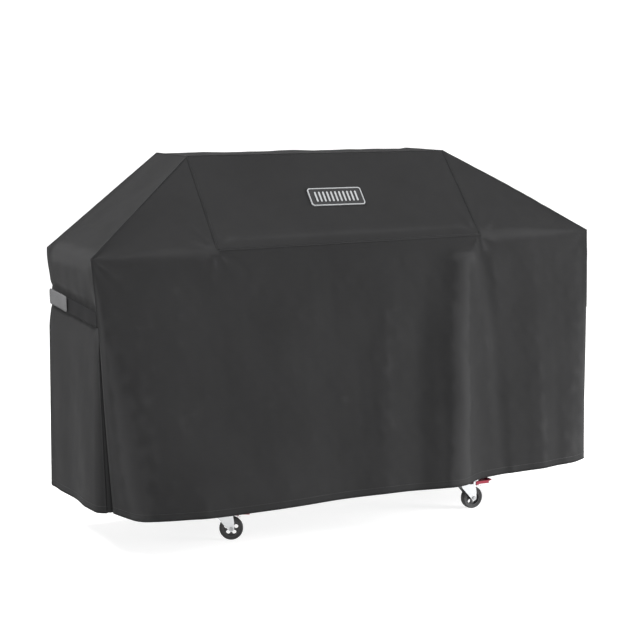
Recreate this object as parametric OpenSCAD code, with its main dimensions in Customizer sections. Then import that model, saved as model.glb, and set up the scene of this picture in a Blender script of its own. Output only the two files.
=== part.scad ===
// Fitted cloth cover on a wheeled gas grill: sewn panels, straps, badge, the grill's plain form and its casters.
// The front faces -Y and Z is up; the floor is z = 0 and the box of the whole part is centred on the Z axis.

/* [Cover] */
// Width across the two shoulders
cover_w = 1900; // [1860:5:1960]
// Height of the shoulders above the floor
shoulder_z = 966; // [955:1:990]
// How far the shoulders reach to the front
shoulder_front = 148; // [145:1:160]
// How far the shoulders reach to the back
shoulder_back = 282; // [280:1:300]
// Height of the ridge above the floor
ridge_z = 1272; // [1265:1:1300]
// Length of the ridge along the width
ridge_w = 1000; // [980:5:1040]
// How far behind the centre the front edge of the ridge lies
ridge_front = 97; // [90:1:100]
// How far behind the centre the back edge of the ridge lies
ridge_back = 372; // [372:1:376]
// How far in front of the centre the hood's lower seam lies
seam_front = 160; // [160:1:165]
// Height of the hood's lower seam
seam_z = 975; // [972:1:980]
// Sideways shift of the hood, as the cover has been pulled on
hood_shift = -15; // [-30:1:30]
// Height of the hem above the floor
hem_z = 145; // [125:1:160]
// Thickness of the cloth
cloth_t = 2; // [1.5:0.1:2.5]

/* [Straps] */
// Width of the webbing
strap_w = 50; // [40:1:55]
// Rise of the strap from its front to its back, in degrees
strap_tilt = 3.8; // [0:0.1:5]
// Height of the strap at its front end
strap_z = 773; // [765:1:780]

/* [Badge] */
// Width of the badge
badge_w = 206; // [150:1:240]
// Height of the badge along the slope
badge_h = 74; // [60:1:90]

/* [Casters] */
// Diameter of the wheels
wheel_d = 80; // [78:1:82]
// Distance from a swivel's axis to its wheel's axle
trail = 28; // [26:1:30]
// Half the distance between the left and the right swivels
swivel_x = 474; // [440:1:480]
// How far forward of the centre the front swivels are
swivel_front = 132; // [125:1:135]
// How far behind the centre the rear swivels are
swivel_back = 230; // [200:1:240]
// How the front left, front right, rear left and rear right casters are turned at rest
swivel_turn = [-25, 0, 18, -12];

/* [Grill] */
// Sideways shift of the grill under the cover
grill_shift = -20; // [-26:1:0]
// Width of the cart
cart_w = 1000; // [960:5:1040]
// Thickness of the grill's sheet metal
sheet_t = 1.6; // [1.2:0.1:2]

/* [Hidden] */
$fn = 48;

half_w = cover_w / 2;
hood_left = hood_shift - ridge_w / 2;
hood_right = hood_shift + ridge_w / 2;
dart_lean = 18;        // how much further right the hood's right front seam ends than it starts
seam_gap = 3.6;        // each panel stops this short of the edge that it is sewn along
binding_r = 2;
hem_h = 26;
hem_back = 300;        // how far behind the centre the hem lies
hem_side = 945;        // how far to the sides the hem lies
charcoal = "#3b3b3c";
dark = "#2b2b2c";
zinc = "#c3c6c8";

// Corners of the hood and the shoulders, front left one first, going right
ridge_fl = [hood_left, ridge_front, ridge_z];
ridge_fr = [hood_right, ridge_front, ridge_z];
ridge_bl = [hood_left, ridge_back, ridge_z];
ridge_br = [hood_right, ridge_back, ridge_z];
seam_l = [hood_left, -seam_front, seam_z];
seam_r = [hood_right + dart_lean, -seam_front, seam_z];
shoulder_fl = [-half_w, -shoulder_front, shoulder_z];
shoulder_fr = [half_w, -shoulder_front, shoulder_z];
shoulder_bl = [-half_w, shoulder_back, shoulder_z];
shoulder_br = [half_w, shoulder_back, shoulder_z];

// Where the front panel starts at the shoulder, how it runs below the strap, and where it ends at the hem
front_top_x = [-half_w, -930, -905, -800, hood_left, -250, 10, 240, seam_r.x, 640, 780, 905, 930, half_w];
front_mid = [
    [-946, -188], [-930, -200], [-900, -204], [-790, -203], [-540, -203], [-270, -202], [0, -196], [243, -200],
    [470, -182], [630, -178], [770, -175], [900, -172], [930, -168], [946, -164]
];
hem_line = [
    [-882, -178], [-873, -250], [-838, -326], [-739, -350], [-560, -366], [-330, -362], [-10, -336], [250, -352],
    [464, -278], [600, -262], [740, -248], [860, -228], [905, -204], [914, -166]
];
mid_z = 745;           // where the front panel has left the shoulders' shape
strap_rise = tan(strap_tilt);
strap_front = 182;     // the strap's height is measured this far in front of the centre
strap_start = [172, 152];   // the left and the right webbing leave the front panel this far in front of the centre
strap_back = 115;      // the webbing ends this far behind the centre, on the tab
tab_back = 270;
strap_t = 3;
strap_off = 4.4;       // from the drawn-in side panel to the strap's inner face
waist_w = half_w - 14; // the strap draws the sides in to here
waist_h = 34;          // the sides run straight this far above and below the strap's middle

function toward(a, b, d) = a + d * (b - a) / norm(b - a);

// The same rows of points with the outermost ones moved in by d
function inset(rows, d) =
    let (
        n = len(rows), m = len(rows[0]),
        high = [for (i = [0 : n - 1]) [for (j = [0 : m - 1])
            i == 0 ? toward(rows[0][j], rows[1][j], d)
            : i == n - 1 ? toward(rows[i][j], rows[i - 1][j], d)
            : rows[i][j]]]
    )
    [for (row = high) [for (j = [0 : m - 1])
        j == 0 ? toward(row[0], row[1], d)
        : j == m - 1 ? toward(row[j], row[j - 1], d)
        : row[j]]];

// A closed sheet of cloth through rows of points, top row first and each from left to right as seen from outside
module cloth(rows, inward) {
    outer = [for (row = rows) for (p = row) p];
    n = len(rows);
    m = len(rows[0]);
    k = n * m;
    face = [for (i = [0 : n - 2]) for (j = [0 : m - 2]) let (a = i * m + j)
        each [[a, a + 1, a + m + 1], [a, a + m + 1, a + m]]];
    rim = concat(
        [for (j = [0 : m - 1]) j],
        [for (i = [1 : n - 1]) i * m + m - 1],
        [for (j = [m - 2 : -1 : 0]) (n - 1) * m + j],
        n > 2 ? [for (i = [n - 2 : -1 : 1]) i * m] : []
    );
    side = [for (q = [0 : len(rim) - 1]) let (a = rim[q], b = rim[(q + 1) % len(rim)])
        each [[b, a, a + k], [b, a + k, b + k]]];
    polyhedron(
        concat(outer, [for (p = outer) p + inward]),
        concat(face, [for (f = face) [f[2] + k, f[1] + k, f[0] + k]], side)
    );
}

// A panel between rows of points, stopping short of its seams
module panel(rows, inward, gap = seam_gap) {
    color(charcoal) cloth(inset(rows, gap), cloth_t * inward / norm(inward));
}

// A round cord along a seam, from a to b
module piping(a, b, r = binding_r) {
    v = b - a;
    long = norm(v) - 4 * r;
    start = toward(a, b, 2 * r);
    translate(start) rotate([0, acos(v.z / norm(v)), atan2(v.y, v.x)]) cylinder(h = long, r = r, $fn = 16);
}

// ---- Cover: the hood ----

module top_panel() panel([[ridge_bl, ridge_br], [ridge_fl, ridge_fr]], [0, 0, -1]);

module hood_front_panel() panel([[ridge_fl, ridge_fr], [seam_l, seam_r]], [0, 1, -0.87]);

module hood_back_panel() panel([[ridge_br, ridge_bl], [shoulder_br, shoulder_bl]], [0, -1, 0.1], 6);

module left_slope_panel() panel([[ridge_bl, ridge_fl], [shoulder_bl, shoulder_fl]], [0.57, 0, -0.82]);

module right_slope_panel() panel([[ridge_fr, ridge_br], [shoulder_fr, shoulder_br]], [-0.57, 0, -0.82]);

// The three-cornered panel between a slope, the hood's front and the front panel; the top edge is a short one
module gusset(side) {
    ridge = side < 0 ? ridge_fl : ridge_fr;
    seam = side < 0 ? seam_l : seam_r;
    shoulder = side < 0 ? shoulder_fl : shoulder_fr;
    high = toward(ridge, shoulder, 30);
    near = toward(ridge, seam, 30);
    panel(side < 0 ? [[high, near], [shoulder, seam]] : [[near, high], [seam, shoulder]], [0, 1, -0.7]);
}

module left_gusset() gusset(-1);

module right_gusset() gusset(1);

module hood_binding() color(dark) {
    piping(ridge_fl, ridge_fr);
    piping(ridge_fl, seam_l);
    piping(ridge_fr, seam_r);
    piping(seam_l, seam_r);
}

module hip_binding() color(dark) {
    piping(ridge_fl, shoulder_fl);
    piping(ridge_fr, shoulder_fr);
    piping(ridge_fl, ridge_bl);
    piping(ridge_fr, ridge_br);
    piping(ridge_bl, ridge_br);
    piping(ridge_bl, shoulder_bl);
    piping(ridge_br, shoulder_br);
}

// ---- Cover: the panels that hang ----

// The front panel's corners stay wide half way down
function p_out(x) = abs(x) > 940 ? 11 * sign(x) : 0;

module front_panel() {
    top = [for (x = front_top_x) [x, -shoulder_front - 1, shoulder_z - 2]];
    mid = [for (p = front_mid) [p.x, p.y, mid_z]];
    hem = [for (p = hem_line) [p.x, p.y, hem_z + hem_h]];
    low = [for (i = [0 : len(mid) - 1]) (mid[i] + hem[i]) / 2 + [p_out(mid[i].x), 0, 0]];
    panel([top, mid, low, hem], [0, 1, 0]);
}

module back_panel() {
    top = [[half_w, shoulder_back, shoulder_z], [-half_w, shoulder_back, shoulder_z]];
    hem = [[half_w, hem_back, hem_z + hem_h], [-half_w, hem_back, hem_z + hem_h]];
    panel([top, hem], [0, -1, 0]);
}

function strap_height(y) = strap_z + (y + strap_front) * strap_rise;

// The end panel from the shoulder to the strap, and the skirt from the strap to the hem
module side_panel(side) {
    front = -shoulder_front;
    back = shoulder_back;
    x = side * half_w;
    waist = side * waist_w;
    rows = [
        [[x, back, shoulder_z - 2], [x, front, shoulder_z - 2]],
        [[waist, back, strap_height(back) + waist_h], [waist, front - 12, strap_height(front) + waist_h]],
        [[waist, back, strap_height(back)], [waist, front - 14, strap_height(front)]]
    ];
    panel(side < 0 ? rows : swapped(rows), [-side, 0, 0]);
}

// The same rows read from the other end
function swapped(rows) = [for (row = rows) [row[1], row[0]]];

module left_side_panel() side_panel(-1);

module right_side_panel() side_panel(1);

module skirt(side) {
    waist = side * waist_w;
    back = shoulder_back + 3;
    rows = [
        [[waist, back, strap_height(back)], [waist, -163, strap_height(-163)]],
        [[waist, back, strap_height(back) - waist_h], [waist, -162, strap_height(-162) - waist_h]],
        [[side * hem_side, hem_back - 1, hem_z + hem_h], [side * hem_side, -138, hem_z + hem_h]]
    ];
    panel(side < 0 ? rows : swapped(rows), [-side, 0, 0]);
}

module left_skirt() skirt(-1);

module right_skirt() skirt(1);

// The cloth folded in between the skirt's front edge and the front panel, which lets the hem spread
module front_pleat(side) {
    lap = side < 0 ? hem_line[0] : hem_line[len(hem_line) - 1];
    rows = [
        [[side * (waist_w - 1), -166, 700], [side * (waist_w - 14), -162, 700]],
        [[side * (hem_side - 1), -144, hem_z + hem_h], [lap.x - side * 4, lap.y + 8, hem_z + hem_h]]
    ];
    panel(side < 0 ? rows : swapped(rows), [0, 1, 0]);
}

module left_front_pleat() front_pleat(-1);

module right_front_pleat() front_pleat(1);

// The tape around the hem, as far as it lies between two corners of the floor plan
module hem(low, high) color(dark) {
    ring = concat([[-hem_side, hem_back], [-hem_side, -140]], hem_line, [[hem_side, -140], [hem_side, hem_back]]);
    translate([0, 0, hem_z]) linear_extrude(hem_h - 2) intersection() {
        difference() {
            polygon(ring);
            offset(delta = -3) polygon(ring);
        }
        translate(low) square(high - low);
    }
}

module front_hem() hem([-1000, -400], [1000, -140.5]);

module left_hem() hem([-1000, -140], [-900, hem_back - 3.5]);

module right_hem() hem([900, -140], [1000, hem_back - 3.5]);

module back_hem() hem([-1000, hem_back - 3], [1000, 400]);

// ---- Cover: straps and badge ----

// A flat strip along the side, from one place to another along Y, following the strap's rise
module strip(side, from, to, inner, thick, height) {
    x = side * (waist_w + inner);
    rise_from = strap_height(from);
    length = (to - from) / cos(strap_tilt);
    translate([side < 0 ? x - thick : x, from, rise_from]) rotate([strap_tilt, 0, 0])
        translate([0, 0, -height / 2]) cube([thick, length, height]);
}

module left_loop_pad() color(dark) strip(-1, 150, 264, 0.4, 2, strap_w - 6);

module right_loop_pad() color(dark) strip(1, 150, 264, 0.4, 2, strap_w - 6);

module left_strap() color(dark) strip(-1, -strap_start[0], strap_back, strap_off, strap_t, strap_w);

module right_strap() color(dark) strip(1, -strap_start[1], strap_back, strap_off, strap_t, strap_w);

module left_strap_tab() color("#6d6d6d") strip(-1, strap_back, tab_back, strap_off - 0.8, 3.2, strap_w);

module right_strap_tab() color("#6d6d6d") strip(1, strap_back, tab_back, strap_off - 0.8, 3.2, strap_w);

// Puts its children on the hood's front slope: X along the width, Y up the slope, Z away from the cloth
module on_slope(share) {
    fall = [0, -seam_front - ridge_front, seam_z - ridge_z];
    middle = [hood_shift, ridge_front, ridge_z] + share * fall;
    translate(middle) rotate([atan2(ridge_z - seam_z, ridge_front + seam_front), 0, 0]) children();
}

module rounded(w, h, r) {
    square([w - 2 * r, h], center = true);
    square([w, h - 2 * r], center = true);
    for (x = [-1, 1], y = [-1, 1]) translate([x * (w / 2 - r), y * (h / 2 - r)]) circle(r);
}

badge_place = 0.49;

module badge_plate() color("#161617") on_slope(badge_place)
    translate([0, 0, 0.6]) linear_extrude(3) rounded(badge_w - 8, badge_h - 8, 8);

module badge_border() color(zinc) on_slope(badge_place) translate([0, 0, 0.6]) linear_extrude(4) difference() {
    rounded(badge_w, badge_h, 10);
    rounded(badge_w - 7, badge_h - 7, 8);
}

// A plain row of grate bars
module badge_bars() color(zinc) on_slope(badge_place)
    for (i = [-5 : 5]) translate([i * 15.5, 0, 3.7]) linear_extrude(1.2) rounded(6, 42, 2.9);

// ---- Grill under the cover ----

// A closed box of sheet metal, from one corner to the other
module sheet_box(low, high) {
    difference() {
        translate(low) cube(high - low);
        translate(low + [sheet_t, sheet_t, sheet_t]) cube(high - low - 2 * [sheet_t, sheet_t, sheet_t]);
    }
}

lid_w = 940;
deck_z = 950;
cart_z = 150;
lid_outline = [[-92, 952], [-92, 1000], [-60, 1065], [20, 1150], [95, 1232], [130, 1246], [236, 1246],
    [262, 1225], [275, 1180], [275, 952]];

module lid_shape(inner) rotate([90, 0, 90]) linear_extrude(lid_w - 2 * inner, center = true)
    offset(delta = -inner) polygon(lid_outline);

module grill_lid() color("#232426") translate([grill_shift, 0, 0]) difference() {
    lid_shape(0);
    lid_shape(sheet_t);
}

module lid_handle() color(zinc) translate([grill_shift, -136, 975]) {
    rotate([0, 90, 0]) cylinder(h = 760, r = 10, center = true);
    for (x = [-1, 1]) translate([x * 340 - 8, 0, -6]) cube([16, 43.9, 12]);
}

module cookbox() color("#303133") sheet_box([grill_shift - 480, -118, 802], [grill_shift + 480, 275, 951]);

// One side table, reaching out from the cookbox
module left_table() color("#3a3b3d") sheet_box([-928, -130, 925], [grill_shift - 481, 268, deck_z]);

module right_table() color("#3a3b3d") sheet_box([grill_shift + 481, -130, 925], [928, 268, deck_z]);

module cart_cabinet() color("#2a2b2d")
    sheet_box([grill_shift - cart_w / 2, -150, cart_z], [grill_shift + cart_w / 2, 272, 801]);

module cart_base() color("#1f2022")
    sheet_box([grill_shift - cart_w / 2 - 14, -166, plate_top], [grill_shift + cart_w / 2 + 14, 276, cart_z - 1]);

// ---- Casters ----

axle_z = wheel_d / 2;
fork_top = 91;         // top of the plate that joins the two cheeks
plate_low = 105;
plate_top = 109;
cheek_in = 16;         // from the middle of the wheel to the inner face of a cheek
cheek_t = 2;
pin_r = 6;
axle_r = 4;
running = 0.05;        // clearance of what turns
pedal_x = 30;
pedal_z = 95.6;
pedal_pin_r = 2.5;
pedal_half = 15;       // half the width of the pedal between the fork's ears

// Puts its children at one caster: X is the direction in which its wheel trails
module at_caster(i) {
    left = i % 2 == 0 ? -1 : 1;
    y = i < 2 ? -swivel_front : swivel_back;
    translate([grill_shift + left * swivel_x, y, 0]) rotate([0, 0, swivel_turn[i]]) children();
}

// The four top plates, square to the cart
module caster_plates() color(zinc) for (i = [0 : 3]) at_caster(i)
    rotate([0, 0, -swivel_turn[i]]) translate([-36, -32, plate_low]) cube([72, 64, plate_top - plate_low - 0.2]);

// The riveted pins that the forks turn on, each with its head under the fork
module kingpins() color("#8f9396") for (i = [0 : 3]) at_caster(i) {
    translate([0, 0, 84]) cylinder(h = plate_low - 84, r = pin_r);
    translate([0, 0, 83]) cylinder(h = 3.5, r = 10);
}

module caster_bolts() color("#8f9396") for (i = [0 : 3]) at_caster(i) rotate([0, 0, -swivel_turn[i]])
    for (x = [-28, 28], y = [-24, 24]) translate([x, y, plate_low - 3.4]) cylinder(h = 3.2, r = 5.5, $fn = 6);

module cheek_outline() {
    polygon([[-22, fork_top - 2], [-22, fork_top - 9], [trail - 9.2, axle_z - 4], [trail + 9.2, axle_z - 4],
        [trail + 10, axle_z + 20], [trail + 6, fork_top - 2]]);
    translate([trail, axle_z]) circle(10);
}

module fork(i) color(zinc) at_caster(i) {
    difference() {
        union() {
            for (y = [-cheek_in - cheek_t, cheek_in])
                translate([0, y + cheek_t, 0]) rotate([90, 0, 0]) linear_extrude(cheek_t) cheek_outline();
            translate([-22, -cheek_in - cheek_t, fork_top - 3]) cube([trail + 28, 2 * (cheek_in + cheek_t), 3]);
            translate([0, 0, fork_top - 1]) cylinder(h = plate_low - 0.3 - fork_top + 1, r = 19);
            if (i < 2) pedal_ears();
        }
        translate([0, 0, 80]) cylinder(h = 40, r = pin_r + running);
        translate([trail, 30, axle_z]) rotate([90, 0, 0]) cylinder(h = 60, r = axle_r + 0.01);
    }
}

// The two ears that stand on a front fork's cheeks, with the pin that carries the brake pedal
module pedal_ears() {
    for (y = [-cheek_in - cheek_t, cheek_in]) translate([pedal_x, y + cheek_t, 0]) rotate([90, 0, 0])
        linear_extrude(cheek_t) {
            translate([0, pedal_z]) circle(4.4);
            translate([-4.4, fork_top - 8]) square([8.4, pedal_z - fork_top + 8]);
        }
    translate([pedal_x, 0, pedal_z]) rotate([90, 0, 0]) cylinder(h = 2 * cheek_in + 1, r = pedal_pin_r, center = true);
}

// The axle bolt with its head and its nut
module axle(i) color("#a9adb0") at_caster(i) translate([trail, 0, axle_z]) rotate([90, 0, 0]) {
    reach = cheek_in + cheek_t;
    cylinder(h = 2 * reach + 0.2, r = axle_r, center = true);
    for (side = [-1, 1]) translate([0, 0, side * (reach + 2.1)]) cylinder(h = 4, r = 6.5, center = true, $fn = 6);
}

module hub(i) color("#c9cbcd") at_caster(i) translate([trail, 0, axle_z]) rotate([90, 0, 0]) difference() {
    union() {
        cylinder(h = 30, r = 9, center = true);
        cylinder(h = 8, r = 28, center = true);
        difference() {
            cylinder(h = 20, r = axle_z - 10.1, center = true);
            cylinder(h = 21, r = axle_z - 15, center = true);
        }
    }
    cylinder(h = 40, r = axle_r + running, center = true);
    for (k = [0 : 4]) rotate([0, 0, 72 * k + 18]) translate([17.2, 0, 0]) cylinder(h = 20, r = 7.2, center = true);
}

module tyre(i) color("#2c2c2d") at_caster(i) translate([trail, 0, axle_z]) rotate([90, 0, 0])
    rotate_extrude() polygon([[axle_z - 10, -11], [axle_z - 3.5, -12], [axle_z - 1, -9.5], [axle_z, -4],
        [axle_z, 4], [axle_z - 1, 9.5], [axle_z - 3.5, 12], [axle_z - 10, 11]]);

// The brake pedal over the wheel: the sleeve of its pivot, a channel with a tip that turns up, and the shoe
// above the tyre
module pedal(i) color("#a3132b") at_caster(i) {
    translate([pedal_x, 0, pedal_z]) rotate([90, 0, 0]) difference() {
        union() {
            cylinder(h = 2 * pedal_half, r = 4.2, center = true);
            rotate([90, 0, 0]) translate([0, -pedal_half, -3.5]) cube([50, 2 * pedal_half, 4.5]);
        }
        cylinder(h = 50, r = pedal_pin_r + running, center = true);
    }
    translate([pedal_x + 8, -18, pedal_z - 1]) cube([52, 36, 4.5]);
    for (y = [-18, 16]) translate([pedal_x + 8, y, pedal_z - 7]) cube([52, 2, 8]);
    translate([pedal_x + 58, -18, pedal_z - 1]) rotate([0, -18, 0]) cube([14, 36, 3.6]);
    translate([pedal_x + 14, -8, 82]) cube([10, 16, pedal_z - 82]);
}

// The bent end of the brake's return spring, hanging from the pedal
module pedal_spring(i) color(zinc) at_caster(i) translate([pedal_x + 24, -12, pedal_z - 9.2])
    rotate([90, -90, 0]) rotate_extrude(angle = 240) translate([7, 0]) circle(r = 1, $fn = 16);

top_panel();
hood_front_panel();
hood_back_panel();
left_slope_panel();
right_slope_panel();
left_gusset();
right_gusset();
front_panel();
back_panel();
left_side_panel();
right_side_panel();
left_skirt();
right_skirt();
left_front_pleat();
right_front_pleat();
hood_binding();
hip_binding();
front_hem();
back_hem();
left_hem();
right_hem();
left_loop_pad();
right_loop_pad();
badge_plate();
badge_border();
badge_bars();
left_strap();
left_strap_tab();
right_strap();
right_strap_tab();
grill_lid();
lid_handle();
cookbox();
left_table();
right_table();
cart_cabinet();
cart_base();
caster_plates();
kingpins();
caster_bolts();
fork(0);  // front_left_fork
fork(1);  // front_right_fork
fork(2);  // rear_left_fork
fork(3);  // rear_right_fork
axle(0);  // front_left_axle
axle(1);  // front_right_axle
axle(2);  // rear_left_axle
axle(3);  // rear_right_axle
hub(0);  // front_left_hub
hub(1);  // front_right_hub
hub(2);  // rear_left_hub
hub(3);  // rear_right_hub
tyre(0);  // front_left_tyre
tyre(1);  // front_right_tyre
tyre(2);  // rear_left_tyre
tyre(3);  // rear_right_tyre
pedal(0);  // front_left_pedal
pedal(1);  // front_right_pedal
pedal_spring(0);  // front_left_pedal_spring
pedal_spring(1);  // front_right_pedal_spring
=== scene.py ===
import math

import bpy
import numpy as np
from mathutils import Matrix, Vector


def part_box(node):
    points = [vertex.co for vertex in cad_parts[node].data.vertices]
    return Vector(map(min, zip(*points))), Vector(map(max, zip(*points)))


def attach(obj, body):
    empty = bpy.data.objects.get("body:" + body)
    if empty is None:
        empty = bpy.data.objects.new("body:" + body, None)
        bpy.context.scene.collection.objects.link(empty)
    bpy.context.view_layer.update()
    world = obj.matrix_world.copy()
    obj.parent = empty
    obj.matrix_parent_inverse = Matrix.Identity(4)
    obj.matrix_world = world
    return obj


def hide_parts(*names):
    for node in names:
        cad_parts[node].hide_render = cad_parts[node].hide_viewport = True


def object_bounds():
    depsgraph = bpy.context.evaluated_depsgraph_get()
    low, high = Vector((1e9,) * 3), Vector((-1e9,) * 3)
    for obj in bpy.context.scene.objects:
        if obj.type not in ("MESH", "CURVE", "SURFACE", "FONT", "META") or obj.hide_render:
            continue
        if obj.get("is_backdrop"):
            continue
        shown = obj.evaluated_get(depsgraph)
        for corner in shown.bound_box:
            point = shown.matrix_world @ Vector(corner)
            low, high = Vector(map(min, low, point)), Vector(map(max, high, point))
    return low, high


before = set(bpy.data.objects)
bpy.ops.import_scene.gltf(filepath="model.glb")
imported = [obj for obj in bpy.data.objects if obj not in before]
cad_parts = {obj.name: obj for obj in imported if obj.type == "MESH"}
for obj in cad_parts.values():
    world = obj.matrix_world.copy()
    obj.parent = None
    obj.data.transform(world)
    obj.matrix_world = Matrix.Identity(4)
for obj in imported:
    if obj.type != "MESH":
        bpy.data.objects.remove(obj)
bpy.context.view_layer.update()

# ---- The studio ----
# A round pale floor whose rim curves up into a wall on every side, four soft lamps, of
# which the high one and the right one are strong, and a long lens above the ridge.

MM = 0.001
camera_place = (-2839.6 * MM, -5437.0 * MM, 1532.4 * MM)
camera_turn, camera_dip = 26.9, 7.613
lens, sensor = 101.4, 36.0

eye = bpy.data.cameras.new("eye")
eye.lens, eye.sensor_width, eye.sensor_fit = lens, sensor, "HORIZONTAL"
eye.clip_start, eye.clip_end = 0.1, 60
camera = bpy.data.objects.new("eye", eye)
camera.location = camera_place
camera.rotation_euler = (math.radians(90 - camera_dip), 0, math.radians(-camera_turn))
bpy.context.scene.collection.objects.link(camera)
bpy.context.scene.camera = camera
bpy.context.scene.view_settings.view_transform = "Standard"


class Wire:
    """An output socket that adds Math nodes when it is used in an expression."""

    def __init__(self, coat, socket):
        self.coat, self.socket = coat, socket

    def maths(self, operation, *values):
        return self.coat.node("ShaderNodeMath", {"operation": operation}, dict(enumerate(values)))

    def __add__(self, other):
        return self.maths("ADD", self, other)

    def __sub__(self, other):
        return self.maths("SUBTRACT", self, other)

    def __rsub__(self, other):
        return self.maths("SUBTRACT", other, self)

    def __mul__(self, other):
        return self.maths("MULTIPLY", self, other)

    __radd__, __rmul__ = __add__, __mul__

    def wave(self):
        return self.maths("SINE", self)


class Coat:
    """A material in the making: node() adds a node and returns the chosen output."""

    def __init__(self, name, **constants):
        self.material = bpy.data.materials.new(name)
        self.material.use_nodes = True
        self.tree = self.material.node_tree
        self.shader = self.tree.nodes["Principled BSDF"]
        for socket, value in constants.items():
            self.set(socket.replace("_", " "), value)

    def set(self, socket, value):
        put = self.shader.inputs[socket]
        if isinstance(value, Wire):
            self.tree.links.new(value.socket, put)
        else:
            put.default_value = (*value, 1) if isinstance(value, tuple) and len(value) == 3 else value

    def node(self, kind, settings=None, sockets=None, output=0):
        made = self.tree.nodes.new(kind)
        for name, value in (settings or {}).items():
            if name == "stops":
                ramp = made.color_ramp
                while len(ramp.elements) < len(value):
                    ramp.elements.new(1)
                for element, (place, colour) in zip(ramp.elements, value):
                    element.position, element.color = place, (*colour, 1)
            else:
                setattr(made, name, value)
        for name, value in (sockets or {}).items():
            if isinstance(value, Wire):
                self.tree.links.new(value.socket, made.inputs[name])
            else:
                made.inputs[name].default_value = value
        return Wire(self, made.outputs[output])

    def blend(self, share, first, second):
        """The first colour where share is 0 and the second where it is 1."""
        settings = {"data_type": "RGBA"}
        sockets = {0: share, 6: first, 7: second}
        for key in (6, 7):
            if isinstance(sockets[key], tuple):
                sockets[key] = (*sockets[key], 1)
        return self.node("ShaderNodeMix", settings, sockets, 2)

    def noise(self, place, scale, detail=3.0, rough=0.5):
        sockets = {"Vector": place, "Scale": scale, "Detail": detail, "Roughness": rough}
        return self.node("ShaderNodeTexNoise", {}, sockets)

    def bump(self, height, distance, strength=1.0, under=None):
        sockets = {"Height": height, "Distance": distance, "Strength": strength}
        if under is not None:
            sockets["Normal"] = under
        return self.node("ShaderNodeBump", {}, sockets)


floor_paper = Coat("floor_paper", Roughness=0.75, Emission_Color=(1, 1, 1, 1), Emission_Strength=0.79)
paper_spot = floor_paper.node("ShaderNodeTexCoord", output=3)
paper_mottle = floor_paper.noise(paper_spot, 6.0)
floor_paper.set("Base Color", floor_paper.blend(paper_mottle, (0.45, 0.45, 0.45), (0.47, 0.47, 0.47)))

floor_r, sweep_r, wall_top, sweep_steps, turns = 30.0, 3.0, 13.0, 16, 96
section = [(6.0, 0.0), (floor_r, 0.0)]
section += [(floor_r + sweep_r * math.sin(math.pi / 2 * i / sweep_steps),
             sweep_r * (1 - math.cos(math.pi / 2 * i / sweep_steps))) for i in range(1, sweep_steps + 1)]
section.append((floor_r + sweep_r, wall_top))
sweep_faces = [tuple(range(turns))]
for i in range(len(section) - 1):
    for k in range(turns):
        after = (k + 1) % turns
        sweep_faces.append((i * turns + k, (i + 1) * turns + k, (i + 1) * turns + after, i * turns + after))
sweep_mesh = bpy.data.meshes.new("floor")
sweep_mesh.from_pydata(
    [(r * math.cos(2 * math.pi * k / turns), r * math.sin(2 * math.pi * k / turns), z)
     for r, z in section for k in range(turns)], [], sweep_faces)
sweep_mesh.materials.append(floor_paper.material)
for face in sweep_mesh.polygons:
    face.use_smooth = True
floor = bpy.data.objects.new("floor", sweep_mesh)
bpy.context.scene.collection.objects.link(floor)
floor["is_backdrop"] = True

sky = bpy.data.worlds.new("sky")
sky.use_nodes = True
sky.node_tree.nodes["Background"].inputs["Color"].default_value = (1, 1, 1, 1)
sky.node_tree.nodes["Background"].inputs["Strength"].default_value = 0.34
bpy.context.scene.world = sky

lamps = [
    ("high_lamp", (-3.1, 0.6, 4.9), (-0.6, 0.0, 0.9), 2.2, 2.2, 500),
    ("left_lamp", (-4.8, -3.6, 1.5), (-0.8, 0.0, 0.5), 2.5, 2.5, 50),
    ("right_lamp", (4.8, -2.6, 1.9), (0.6, 0.0, 0.6), 2.2, 3.0, 600),
    ("front_lamp", (-2.2, -5.5, 3.6), (0.0, 0.0, 0.5), 3.0, 2.0, 12),
]
for lamp_name, place, aim, wide, tall, watts in lamps:
    lamp = bpy.data.lights.new(lamp_name, "AREA")
    lamp.shape, lamp.size, lamp.size_y, lamp.energy = "RECTANGLE", wide, tall, watts
    holder = bpy.data.objects.new(lamp_name, lamp)
    holder.location = place
    away = np.array(place) - np.array(aim)
    flat_run = math.hypot(away[0], away[1])
    holder.rotation_euler = (math.atan2(flat_run, away[2]), 0, math.atan2(away[0], -away[1]))
    bpy.context.scene.collection.objects.link(holder)

# ---- The cover's cloth ----
# Woven polyester, coated inside, charcoal grey and almost matt. Its panels are cut flat
# and sewn, so each one is a net of points that hangs between its seams.


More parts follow.
